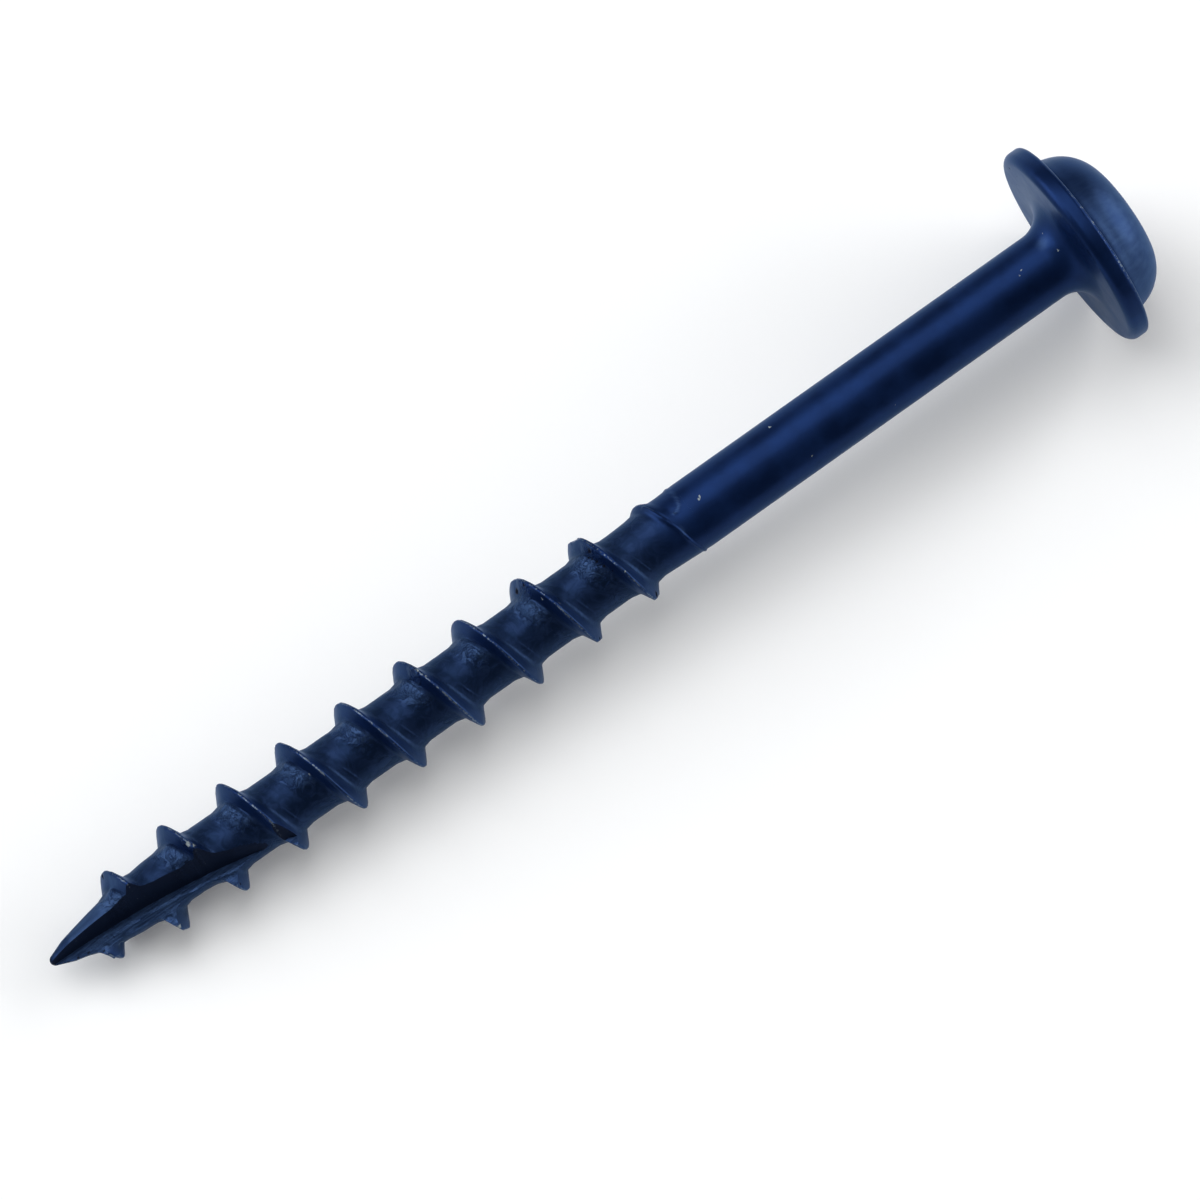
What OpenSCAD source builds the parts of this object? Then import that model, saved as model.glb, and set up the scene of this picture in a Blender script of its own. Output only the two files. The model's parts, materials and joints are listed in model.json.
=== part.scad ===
// Pocket hole screw with a washer head, a plain shank, a coarse wood thread and an auger notch at its point.
// It is drawn standing on its point along +Z, then laid on the ground as it comes to rest, head towards +X.
// All lengths are in millimetres and all angles in degrees.

/* [Length] */
// Length from the tip of the point to the seat under the washer
length = 50.8; // [46:0.1:64]
// Length from the tip of the point to the end of the thread
thread_len = 31.4; // [26:0.1:36]

/* [Shank] */
// Diameter of the plain shank
shank_d = 2.98; // [2.8:0.02:3.5]
// Radius of the fillet between the shank and the washer
neck_fillet = 1.2; // [0.4:0.02:1.4]
// Length in which the core grows to the shank, half of it past the end of the thread
shoulder_len = 2; // [1:0.1:3]

/* [Thread] */
// Diameter over the crests of the thread
thread_d = 4.16; // [3.7:0.02:5.2]
// Diameter of the core, halfway between two turns
core_d = 2.66; // [2.3:0.02:2.76]
// Advance of the thread in one turn
pitch = 2.93; // [2.5:0.01:3.8]
// Width of the crest
crest_w = 0.12; // [0.08:0.02:0.3]
// Angle between the two flanks
flank_angle = 50; // [40:1:64]
// Rise of the core at the foot of each flank
root_rise = 0.09; // [0.04:0.01:0.14]
// Width of the fillet at the foot of each flank
root_fillet = 0.1; // [0.06:0.01:0.2]
// Width in which the core rises towards that fillet
root_flare = 0.4; // [0.2:0.02:0.5]
// Turn of the whole thread about the axis
thread_turn = 350; // [0:5:355]
// Distance of the first turn from the tip
thread_start = 1.5; // [1.4:0.05:3]
// Length in which the first turn rises to its full height
thread_rise = 1.2; // [0.6:0.05:2]
// Length in which the last turn fades into the shank
thread_fade = 3.2; // [1.5:0.1:4]

/* [Point] */
// Diameter of the blunt tip
tip_d = 0.32; // [0.2:0.02:0.5]
// Length of the short steep cone at the tip
nib_len = 0.85; // [0.6:0.05:0.9]
// Diameter at the wide end of that cone
nib_d = 0.98; // [0.9:0.02:1.2]
// Length of the whole point, from the tip to the full core
point_len = 6; // [4:0.1:9]
// Distance of the tip from the axis, where forming pushed it over
point_lean = 0.2; // [0:0.02:0.3]
// Direction in which the point leans
lean_turn = 100; // [0:5:355]

/* [Auger notch] */
// Length of the notch, from the tip to where it leaves the core
notch_len = 9.9; // [7:0.1:14]
// Direction in which the floor of the notch opens
notch_turn = 245; // [0:1:359]
// Distance by which the corner of the notch passes the axis at the tip
notch_over = 0.07; // [0:0.01:0.2]
// Depth by which rolling pressed the core in, beside the open edge of the floor
notch_press = 0.34; // [0:0.02:0.4]

/* [Head] */
// Diameter of the washer
washer_d = 9.24; // [8.6:0.02:11]
// Thickness of the washer
washer_h = 0.88; // [0.5:0.02:1.4]
// Radius of the rounding on the washer's rim
rim_round = 0.3; // [0.1:0.02:0.44]
// Diameter of the dome on the washer
dome_d = 7.34; // [6.4:0.02:8]
// Height of the dome above the washer
dome_h = 2.02; // [1.6:0.02:2.6]

/* [Square drive] */
// Width of the recess across its flats
drive_w = 2.86; // [2.3:0.02:3.4]
// Depth of the recess to its flat sides' lower ends
drive_depth = 2.1; // [1.2:0.05:2.2]
// Radius of the recess over its corners
drive_corner_r = 1.92; // [1.8:0.02:2.4]
// Depth of the round lead-in at the mouth of the recess
drive_lead = 0.2; // [0.1:0.02:0.4]
// Slope of the cone at the bottom of the recess
drive_cone = 25; // [10:1:35]
// Turn of the recess about the axis
drive_turn = 20; // [0:1:89]

/* [Hidden] */
steel_blue = [0.10, 0.19, 0.40];

// Steps in one turn of the thread, of the turned head, of the arcs in its section and of the notch's disc
turn_steps = 36;
head_steps = 64;
arc_steps = 32;
disc_steps = 360;
// Distance by which a cutter or a buried end passes the surface
past = 1;
nib_past = 0.1;
// Depth of the rolled end under the shank, so that no two surfaces meet edge on
sink = 0.02;
// Sharpness of the point's curve and of its lean
point_power = 1.5;
// Where the core is pressed in: shares of the notch's length, and angles about the axis
press_from = 0.15;
press_to = 0.65;
press_blend = 0.4;
press_turn = notch_turn + 10;
press_width = 30;
press_edge = 60;
// Turns by which the drawn thread passes the tip and its own end, to be cut off and buried
spare_low = 1;
spare_high = 1.4;

tip_r = tip_d / 2;
nib_r = nib_d / 2;
core_r = core_d / 2;
shank_r = shank_d / 2;
rolled_r = shank_r - sink;
thread_h = (thread_d - core_d) / 2;
washer_r = washer_d / 2;
rim_r = min(rim_round, washer_h / 2);
crown_r = dome_d / 2 - dome_h;
crown_z = length + washer_h + dome_h;
fade_z = thread_len - thread_fade;
// The core starts to grow at shoulder_z, and the plain shank starts at shank_z
shoulder_z = thread_len - shoulder_len / 2;
shank_z = thread_len + shoulder_len / 8;
lean_len = 3 * point_len;

// The notch is the cut of a disc: its rim passes the axis at the tip and leaves the core at the notch's end
notch_rise = core_r + notch_over;
notch_r = (notch_len * notch_len + notch_rise * notch_rise) / (2 * notch_rise);

// Section of one turn of the thread: distance from the crest along the axis, and height above the core
root_h = 2 * root_rise;
flank_w = crest_w / 2 + (thread_h - root_h) * tan(flank_angle / 2);
fillet_w = flank_w + root_fillet;
foot_w = fillet_w + root_flare;
tooth = [
    [-foot_w, 0],
    [-fillet_w, root_rise],
    [-flank_w, root_h],
    [-crest_w / 2, thread_h],
    [crest_w / 2, thread_h],
    [flank_w, root_h],
    [fillet_w, root_rise],
    [foot_w, 0],
];

// Smooth step from 0 to 1
function ease(x) = let(t = max(0, min(1, x))) t * t * (3 - 2 * t);

// Radius of the point: an ogive up to the core, before its nib is cut
function point_r(z) =
    let(share = max(0, point_len - z) / (point_len - nib_len))
    max(tip_r, core_r - (core_r - nib_r) * pow(share, point_power));

// Radius under the thread. The band of core that follows the crest at height band_z grows to the shank.
function under_r(z, band_z) =
    z < point_len ? point_r(z) :
    core_r + (rolled_r - core_r) * ease((band_z + pitch - shoulder_z) / shoulder_len);

// Share of its full height that the thread has where its crest is at height z
function growth(z) = ease((z - thread_start) / thread_rise) * (1 - ease((z - fade_z) / thread_fade));

// Sideways place of the axis at height z
function lean(z) =
    point_lean * pow(max(0, lean_len - z) / lean_len, point_power) * [cos(lean_turn), sin(lean_turn)];

// Depth by which the core is pressed in beside the floor of the notch
function press(turn, z) =
    let(
        share = z / notch_len,
        away = abs((turn - press_turn + 540) % 360 - 180),
        along = ease((share - press_from) / press_blend) * (1 - ease((share - press_to) / press_blend)),
        around = 1 - ease((away - press_width) / press_edge)
    )
    notch_press * along * around;

// One point on the thread's surface: i is the step along the helix, and foot is an entry of the tooth
function thread_point(i, foot) =
    let(
        crest_z = pitch * (i / turn_steps - spare_low),
        band_z = foot[0] < 0 ? crest_z - pitch : crest_z,
        z = crest_z + foot[0],
        turn = 360 * i / turn_steps + thread_turn,
        base_r = under_r(z, band_z) - press(turn, z) * (1 - foot[1] / thread_h),
        r = base_r + growth(crest_z) * foot[1],
        axis = lean(z)
    )
    [axis[0] + r * cos(turn), axis[1] + r * sin(turn), z];

// Screw blank with its thread, from below the tip to inside the shank.
// Each row holds the tooth's section at one step, and its last point joins the first of the row a turn later.
module threaded_blank() {
    cols = len(tooth);
    last = ceil((thread_len / pitch + spare_low + spare_high) * turn_steps);
    first_top = last - turn_steps;
    low_apex = (last + 1) * cols;
    high_apex = low_apex + 1;
    points = concat(
        [for (i = [0:last], foot = tooth) thread_point(i, foot)],
        [[0, 0, -2 * spare_low * pitch], [0, 0, thread_len + 2 * spare_high * pitch]]
    );
    skin = [
        for (i = [0:last - 1], j = [0:cols - 1])
            let(
                a = i * cols + j,
                d = j < cols - 1 ? a + 1 : (i + turn_steps) * cols,
                b = a + cols,
                c = d + cols
            )
            if (j < cols - 1 || i < first_top)
                each [[a, d, c], [a, c, b]]
    ];
    low_loop = concat(
        [for (i = [0:turn_steps]) i * cols],
        [for (j = [cols - 1:-1:1]) j]
    );
    high_loop = concat(
        [for (i = [last:-1:first_top]) (i + 1) * cols - 1],
        [for (j = [0:cols - 2]) last * cols + j]
    );
    low_cap = fan(low_loop, low_apex);
    high_cap = fan(high_loop, high_apex);
    polyhedron(points, concat(skin, low_cap, high_cap), convexity = 20);
}

// Triangles from each edge of a closed loop to one apex
function fan(loop, apex) = [
    for (k = [0:len(loop) - 1]) [loop[k], loop[(k + 1) % len(loop)], apex]
];

// Half section of the shank, its fillet, the washer and the dome, with the seat at height 0
module head_section() {
    neck_r = shank_r + neck_fillet;
    // Shank, with a small lip where it meets the rolled end
    polygon([
        [0, shank_z - length],
        [shank_r - 3 * sink, shank_z - length],
        [shank_r, shank_z - length + 3 * sink],
        [shank_r, rim_r],
        [0, rim_r],
    ]);
    // Fillet under the washer
    difference() {
        translate([shank_r - sink, -neck_fillet])
            square([neck_fillet + sink, neck_fillet + rim_r]);
        translate([neck_r, -neck_fillet])
            circle(neck_fillet, $fn = arc_steps);
    }
    // Washer with a rounded rim
    square([washer_r - rim_r, washer_h]);
    translate([0, rim_r])
        square([washer_r, washer_h - 2 * rim_r]);
    for (z = [rim_r, washer_h - rim_r])
        translate([washer_r - rim_r, z])
            circle(rim_r, $fn = arc_steps);
    // Dome: a flat crown with a quarter round down to the washer
    square([crown_r, washer_h + dome_h]);
    intersection() {
        translate([crown_r, washer_h])
            circle(dome_h, $fn = arc_steps);
        translate([0, washer_h - rim_r])
            square([dome_d / 2, dome_h + rim_r]);
    }
}

module head_and_shank() {
    translate([0, 0, length])
        rotate_extrude($fn = head_steps)
            head_section();
}

// Notch along the point: a flat floor through the axis and a wall that curves out of the core
module auger_notch() {
    rotate([0, 0, notch_turn])
        translate([notch_r - notch_over, 0, 0])
            rotate([90, 0, 0])
                cylinder(r = notch_r, h = thread_d, $fn = disc_steps);
}

// Square socket in the crown, with rounded corners, a round lead-in and a conical bottom
module drive_recess() {
    flat_r = drive_w / 2;
    cone_h = flat_r * tan(drive_cone);
    lead_h = drive_lead + past;
    translate([0, 0, crown_z - drive_depth])
        rotate([0, 0, drive_turn]) {
            intersection() {
                translate([-flat_r, -flat_r, 0])
                    cube([drive_w, drive_w, drive_depth + past]);
                cylinder(r = drive_corner_r, h = drive_depth + past, $fn = head_steps);
            }
            translate([0, 0, -cone_h])
                cylinder(r1 = 0, r2 = flat_r, h = cone_h, $fn = arc_steps);
            translate([0, 0, drive_depth - drive_lead])
                cylinder(r1 = flat_r, r2 = flat_r + lead_h, h = lead_h, $fn = head_steps);
        }
}

// Everything below the blunt tip and around the steep cone of the nib
module tip_cut() {
    top_z = nib_len + nib_past;
    top_r = tip_r + (nib_r - tip_r) * top_z / nib_len;
    translate(lean(0))
        rotate_extrude($fn = head_steps)
            polygon([
                [0, 0],
                [tip_r, 0],
                [top_r, top_z],
                [thread_d, top_z],
                [thread_d, -3 * spare_low * pitch],
                [0, -3 * spare_low * pitch],
            ]);
}

// How far the axis must tilt for the screw to touch the ground with its rim and with a crest at height z
function tilt_at(z) =
    let(
        reach = under_r(z, z - pitch) + growth(z) * thread_h + lean(z)[0],
        along = length + rim_r - z,
        across = washer_r - rim_r - reach
    )
    atan2(across, along) + asin(rim_r / norm([along, across]));

// The screw rests on its rim and on whichever crest touches the ground first
crest_count = floor(thread_len / pitch);
tilt = min([for (k = [1:crest_count]) tilt_at(pitch * (k - thread_turn / 360))]);
ground = (washer_r - rim_r) * cos(tilt) + rim_r - (length + rim_r) * sin(tilt);
far_x = (length + washer_h) * cos(tilt) + crown_r * sin(tilt) + dome_h;
near_x = -tip_r * sin(tilt);

module lay_down() {
    translate([-(near_x + far_x) / 2, 0, ground])
        rotate([0, 90 - tilt, 0])
            children();
}

module screw() {
    color(steel_blue)
        lay_down()
            difference() {
                union() {
                    threaded_blank();
                    head_and_shank();
                }
                tip_cut();
                auger_notch();
                drive_recess();
            }
}

screw();
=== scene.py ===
# Pocket hole screw with a worn blue coating, lying on a pale floor.
# In the dictionaries, lengths are millimetres and angles are degrees. On the screw, height runs from its
# tip to its head, and turn is the angle about its axis: 0 points down, 180 points up.
import json
import math

import bmesh
import bpy
from mathutils import Matrix, Vector, noise


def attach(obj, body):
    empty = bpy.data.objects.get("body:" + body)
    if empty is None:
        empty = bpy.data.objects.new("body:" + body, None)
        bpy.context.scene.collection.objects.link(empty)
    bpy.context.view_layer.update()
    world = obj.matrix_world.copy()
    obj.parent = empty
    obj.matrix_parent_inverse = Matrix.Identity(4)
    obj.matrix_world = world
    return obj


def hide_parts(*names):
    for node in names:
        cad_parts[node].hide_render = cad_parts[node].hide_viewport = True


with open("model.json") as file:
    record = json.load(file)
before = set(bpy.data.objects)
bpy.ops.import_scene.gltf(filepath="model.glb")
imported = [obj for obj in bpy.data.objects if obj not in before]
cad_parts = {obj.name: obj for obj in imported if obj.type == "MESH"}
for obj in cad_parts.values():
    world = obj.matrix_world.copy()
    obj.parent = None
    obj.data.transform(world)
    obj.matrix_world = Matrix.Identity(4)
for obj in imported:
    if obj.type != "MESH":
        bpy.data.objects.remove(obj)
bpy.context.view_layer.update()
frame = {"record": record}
millimetre = 0.001


# ---- small helpers
def ease(share):
    share = max(0.0, min(1.0, share))
    return share * share * (3 - 2 * share)


def angleBetween(a, b):
    return (a - b + 180) % 360 - 180


def inSector(turn, sector):
    # 1 within a sector of turns, smoothly down to 0 beside it
    return 1 - ease((abs(angleBetween(turn, sector["turn"])) - sector["half"]) / sector["fade"])


# ---- the screw's place on the floor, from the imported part's record
screwSizes = {
    "length": 50.8,          # tip to the seat under the washer
    "threadEnd": 31.4,
    "shankRadius": 1.49,
    "shankStart": 31.8,
    "shoulderStart": 28.6,   # the core grows to the shank from here
    "neckFillet": 1.2,
    "coreGap": 0.004,        # the blank ends this far inside the shank
    "overlap": 0.6,          # and reaches this far into it
}
threadSizes = {
    "crestRadius": 2.08,
    "coreRadius": 1.33,
    "pitch": 2.93,
    "crestWidth": 0.12,
    "flankAngle": 50,
    "rootRise": 0.09,
    "rootFillet": 0.1,
    "rootFlare": 0.4,
    "startTurn": 350,
    "start": 1.5,
    "rise": 1.2,
    "fade": 3.2,
    "stepsPerTurn": 120,
    "turns": 13,
    "rounding": 0.03,        # how far the corners of the tooth are rounded
    "roundingAtCrest": 0.6,
    "roundingGrowth": 0.5,
    "rollMark": 0.74,        # a faint ridge beside each tooth, left by rolling
    "rollMarkRise": 0.018,
    "rollMarkWidth": 0.06,
    "heapRise": 0.15,        # metal heaped up on the tip side of each tooth by rolling
    "heapStart": -1.30,
    "heapSlope": 0.75,
    "heapEnd": -0.42,
    "heapEdge": 0.12,
}
pointSizes = {
    "tipRadius": 0.16,
    "nibLength": 0.85,
    "nibRadius": 0.49,
    "length": 6.0,
    "lean": 0.2,
    "leanTurn": 100,
    "leanLength": 18.0,
    "curve": 1.5,
    "endRound": 0.13,
    "endFlat": 0.04,         # square of the share of the radius that is left at the very end
    "leastRadius": 0.04,
}
notchSizes = {
    "length": 9.9,
    "turn": 245,
    "past": 0.07,
    "press": 0.2,            # the edge of its floor is pressed in between these heights
    "pressFrom": 3.2,
    "pressRise": 2.6,
    "pressTo": 8.6,
    "pressFall": 1.9,
    "wallSteps": 240,
    "floorSteps": 30,
    "low": -1.0,             # the cutter's ends and outer side
    "pastEnd": 2.6,
    "reach": 2.7,
}
headSizes = {
    "washerRadius": 4.62,
    "washerHeight": 0.88,
    "rimRound": 0.38,        # under the rim
    "topRound": 0.2,
    "domeRadius": 3.67,
    "domeHeight": 2.02,
    "domeFlare": 0.09,       # the dome widens where it meets the washer
    "domeFlareHeight": 0.55,
    "domeStart": 1.5,        # angle at which the dome's arc starts
    "steps": 200,
    "shankRows": 14,
    "firstRow": 0.5,         # from the shank's start to the first of these rows
    "filletSteps": 16,
    "rimSteps": 8,
    "topRimSteps": 6,
    "domeSteps": 28,
}
driveSizes = {
    "width": 2.86,
    "depth": 2.1,
    "cornerRadius": 1.92,
    "lead": 0.2,
    "coneAngle": 25,
    "turn": 20,
    "cornerSteps": 8,
    "coneSteps": 96,
    "leadAbove": 0.8,        # the cutters reach this far over the crown
    "cutterAbove": 1,
}
# Sectors about the axis: full effect up to half on either side of the turn, and fading out beyond it
sectors = {
    "press": {"turn": 255, "half": 35, "fade": 55},
    "heap": {"turn": 158, "half": 14, "fade": 26},
    "rollMark": {"turn": 222, "half": 22, "fade": 14},
    # lumps, and the painted highlight on them, gather on this side, which faces the lamps
    "lumpAndHighlightHeap": {"turn": 158, "half": 26, "fade": 20},
    # painted highlight on the head-side flanks, on the side facing the lamps
    "highlightFlank": {"turn": 236, "half": 40, "fade": 20},
    "pointFacet": {"turn": 148, "half": 18, "fade": 10},
    "washerEdge": {"turn": 205, "half": 50, "fade": 20},
    # painted highlight on the dome, on its lit side
    "highlightDome": {"turn": 232, "half": 35, "fade": 60},
}
# Rise and size of the small lumps on the rolled surface
lumpSizes = {
    "heapEven": 0.8,
    "heapUneven": 0.6,
    "heap": 0.5,
    "valleyRise": 0.008,
    "valley": 0.32,
    "fineValleyRise": 0.005,
    "fineValley": 0.14,
    "crestRise": 0.022,
    "crest": 0.16,
    "fineCrestRise": 0.014,
    "fineCrest": 0.07,
    "crestDrop": 0.008,
    "torn": 0.11,
    "toothHeight": 0.3,      # the lumps between the teeth end at this height of the tooth
    "crestStart": 0.72,      # and those on the crest start at this share of it
    "crestFade": 0.28,
}

crownHeight = screwSizes["length"] + headSizes["washerHeight"] + headSizes["domeHeight"]
mounts = {mount["name"]: mount for mount in frame["record"]["mounts"]}
axis = Vector(mounts["drive"]["axis"]).normalized()
tipPlace = Vector(mounts["drive"]["pos_m"]) - axis * crownHeight * millimetre
down = Vector((axis.z, 0, -axis.x))
laidDown = Matrix((down, (0, 1, 0), axis)).transposed().to_4x4()
restPose = Matrix.Translation(tipPlace) @ laidDown @ Matrix.Scale(millimetre, 4)


# ---- threaded blank
def toothCorners():
    toothHeight = threadSizes["crestRadius"] - threadSizes["coreRadius"]
    crest = threadSizes["crestWidth"] / 2
    root = 2 * threadSizes["rootRise"]
    flank = crest + (toothHeight - root) * math.tan(math.radians(threadSizes["flankAngle"] / 2))
    fillet = flank + threadSizes["rootFillet"]
    foot = fillet + threadSizes["rootFlare"]
    filletEnd = (fillet, threadSizes["rootRise"])
    return [(0, toothHeight), (crest, toothHeight), (flank, root), filletEnd, (foot, 0)]


corners = toothCorners()
toothHeight = corners[0][1]


def cornerHeight(offset):
    offset = abs(offset)
    for (nearOffset, nearHeight), (farOffset, farHeight) in zip(corners, corners[1:]):
        if offset <= farOffset:
            return nearHeight + (farHeight - nearHeight) * (offset - nearOffset) / (farOffset - nearOffset)
    return 0.0


def toothProfile(offset):
    # the tooth's section with its corners rounded: an average over a short width
    widened = threadSizes["roundingAtCrest"] + threadSizes["roundingGrowth"] * abs(offset)
    spread = threadSizes["rounding"] * widened
    samples = (-1.5, -0.75, 0, 0.75, 1.5)
    return sum(cornerHeight(offset + spread * sample) for sample in samples) / len(samples)


def pointRadius(height):
    share = max(0.0, pointSizes["length"] - height) / (pointSizes["length"] - pointSizes["nibLength"])
    core, nibRadius, tipRadius = threadSizes["coreRadius"], pointSizes["nibRadius"], pointSizes["tipRadius"]
    ogive = core - (core - nibRadius) * share ** pointSizes["curve"]
    nib = tipRadius + (nibRadius - tipRadius) * height / pointSizes["nibLength"]
    return max(pointSizes["leastRadius"], min(ogive, nib))


def coreRadius(height):
    if height < pointSizes["length"]:
        return pointRadius(height)
    start, core = screwSizes["shoulderStart"], threadSizes["coreRadius"]
    grown = (height - start) / (screwSizes["shankStart"] - start)
    grown = max(0.0, min(1.0, grown))
    return core + (screwSizes["shankRadius"] - screwSizes["coreGap"] - core) * grown


def growth(crestHeight):
    risen = ease((crestHeight - threadSizes["start"]) / threadSizes["rise"])
    faded = ease((crestHeight - screwSizes["threadEnd"] + threadSizes["fade"]) / threadSizes["fade"])
    return risen * (1 - faded)


def leanAt(height):
    share = max(0.0, pointSizes["leanLength"] - height) / pointSizes["leanLength"]
    reach = pointSizes["lean"] * share ** pointSizes["curve"]
    turn = math.radians(pointSizes["leanTurn"])
    return Vector((reach * math.cos(turn), reach * math.sin(turn), 0))


def pressed(turn, height):
    fall = notchSizes["pressFall"]
    starts = ease((height - notchSizes["pressFrom"]) / notchSizes["pressRise"])
    ends = ease((height - notchSizes["pressTo"] + fall) / fall)
    return notchSizes["press"] * starts * (1 - ends) * inSector(turn, sectors["press"])


def toothPlace(turn, height):
    # height of the nearest crest at this turn, and the distance from it
    turns = height / threadSizes["pitch"] - (turn - threadSizes["startTurn"]) / 360
    offset = (turns - round(turns)) * threadSizes["pitch"]
    return height - offset, offset


# Worn, dented and burred places of the thread. Height and turn say where, along and around are half sizes,
# rise is outwards. A blunt crest is cut down by its depth instead.
bluntCrests = [
    {"height": 27.30, "turn": 107, "along": 0.6, "around": 1.1, "depth": 0.17},
    {"height": 27.75, "turn": 160, "along": 0.8, "around": 1.9, "depth": 0.05},
    {"height": 25.80, "turn": 284, "along": 0.5, "around": 0.8, "depth": 0.11},
    {"height": 28.75, "turn": 284, "along": 0.5, "around": 0.8, "depth": 0.24},
    {"height": 2.40, "turn": 283, "along": 0.5, "around": 0.6, "depth": 0.21},
    {"height": 5.32, "turn": 280, "along": 0.5, "around": 0.5, "depth": 0.06},
    {"height": 24.42, "turn": 108, "along": 0.5, "around": 0.9, "depth": 0.03},
]
threadMarks = [
    {"height": 6.78, "turn": 103, "along": 0.5, "around": 1.6, "rise": 0.045},
    {"height": 9.71, "turn": 103, "along": 0.5, "around": 1.6, "rise": 0.085},
    {"height": 12.64, "turn": 103, "along": 0.5, "around": 1.6, "rise": 0.075},
    {"height": 27.17, "turn": 100, "along": 0.09, "around": 0.25, "rise": 0.05},
    {"height": 27.50, "turn": 110, "along": 0.10, "around": 0.30, "rise": 0.06},
    {"height": 27.42, "turn": 148, "along": 0.16, "around": 0.24, "rise": -0.09},
    {"height": 27.29, "turn": 171, "along": 0.13, "around": 0.15, "rise": 0.06},
    {"height": 27.15, "turn": 163, "along": 0.12, "around": 0.13, "rise": 0.05},
    {"height": 27.36, "turn": 180, "along": 0.12, "around": 0.14, "rise": 0.05},
    {"height": 27.20, "turn": 152, "along": 0.10, "around": 0.12, "rise": 0.045},
    {"height": 24.19, "turn": 111, "along": 0.10, "around": 0.12, "rise": -0.07},
    {"height": 28.80, "turn": 287, "along": 0.11, "around": 0.13, "rise": 0.09},
    {"height": 12.36, "turn": 166, "along": 0.24, "around": 0.20, "rise": -0.025},
    {"height": 12.40, "turn": 181, "along": 0.13, "around": 0.10, "rise": 0.030},
    {"height": 18.13, "turn": 160, "along": 0.20, "around": 0.16, "rise": -0.022},
    {"height": 20.97, "turn": 172, "along": 0.24, "around": 0.20, "rise": -0.018},
    {"height": 24.03, "turn": 164, "along": 0.20, "around": 0.20, "rise": -0.022},
    {"height": 14.76, "turn": 164, "along": 0.20, "around": 0.16, "rise": -0.018},
    {"height": 9.40, "turn": 160, "along": 0.30, "around": 0.16, "rise": -0.020},
    {"height": 6.20, "turn": 158, "along": 0.24, "around": 0.14, "rise": 0.022},
    {"height": 5.55, "turn": 148, "along": 0.30, "around": 0.10, "rise": -0.020},
    {"height": 1.05, "turn": 128, "along": 0.10, "around": 0.12, "rise": 0.035},
    {"height": 31.12, "turn": 206, "along": 0.35, "around": 0.25, "rise": 0.016},
    {"height": 2.80, "turn": 278, "along": 0.20, "around": 0.45, "rise": -0.090},
    {"height": 2.22, "turn": 274, "along": 0.12, "around": 0.25, "rise": 0.060},
]
# Thin raised lines by height and turn: the lip where rolling stopped, and the crest as it runs out
raisedLines = [
    {"path": [(31.56, 96), (31.60, 125), (31.64, 152), (31.52, 166), (31.34, 172), (31.16, 173)],
     "width": 0.10, "rise": 0.034, "paleAndHighlight": 0.8, "wear": 0.0},
    {"path": [(30.34, 128), (30.62, 166), (30.88, 192), (31.08, 224), (31.30, 252), (31.50, 280)],
     "width": 0.11, "rise": 0.055, "paleAndHighlight": 0.0, "wear": 0.7},
]
# Pale places: a painted lamp reflection on the neck under the washer, and a pale patch where the crest runs
# out
paleAndHighlightPlaces = [
    # painted reflection of a lamp on the neck fillet
    {"height": 49.96, "turn": 160, "along": 0.42, "around": 0.40, "share": 0.9},
    {"height": 31.06, "turn": 204, "along": 0.13, "around": 0.42, "share": 0.8},
]
# Places where the rolled surface is torn and lumpy
roughPlaces = [
    {"height": 27.36, "turn": 172, "along": 0.42, "around": 1.9, "rise": 0.110},
    {"height": 24.35, "turn": 135, "along": 0.30, "around": 0.8, "rise": 0.035},
    {"height": 18.70, "turn": 150, "along": 0.26, "around": 0.6, "rise": 0.040},
    {"height": 7.30, "turn": 166, "along": 0.24, "around": 0.6, "rise": 0.045},
]


def nearMark(height, turn, radius, mark):
    # 1 at the middle of a mark, smoothly down to 0 at its edge
    along = abs(height - mark["height"]) / mark["along"]
    if along >= 1:
        return 0.0
    around = math.radians(angleBetween(turn, mark["turn"])) * radius / mark["around"]
    return 1 - ease(math.hypot(along, around))


def nearLine(height, turn, line):
    # 1 on a raised line, smoothly down to 0 at its width
    path, margin = line["path"], 0.6
    if not path[0][0] - margin < height < path[-1][0] + margin:
        return 0.0
    radius = screwSizes["shankRadius"]
    here = Vector((height, math.radians(turn) * radius))
    nearest = 1.0
    for start, end in zip(path, path[1:]):
        a = Vector((start[0], math.radians(start[1]) * radius))
        b = Vector((end[0], math.radians(end[1]) * radius))
        share = max(0.0, min(1.0, (here - a).dot(b - a) / (b - a).length_squared))
        nearest = min(nearest, (here - a - (b - a) * share).length)
    return 1 - ease(nearest / line["width"])


def heaped(turn, offset):
    # 1 where rolled metal is heaped against the tip side of a tooth
    rising = ease((offset - threadSizes["heapStart"]) / threadSizes["heapSlope"])
    ended = ease((offset - threadSizes["heapEnd"]) / threadSizes["heapEdge"])
    return inSector(turn, sectors["heap"]) * rising * (1 - ended)


def lumpAt(place, size):
    return noise.noise(place / size)


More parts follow.
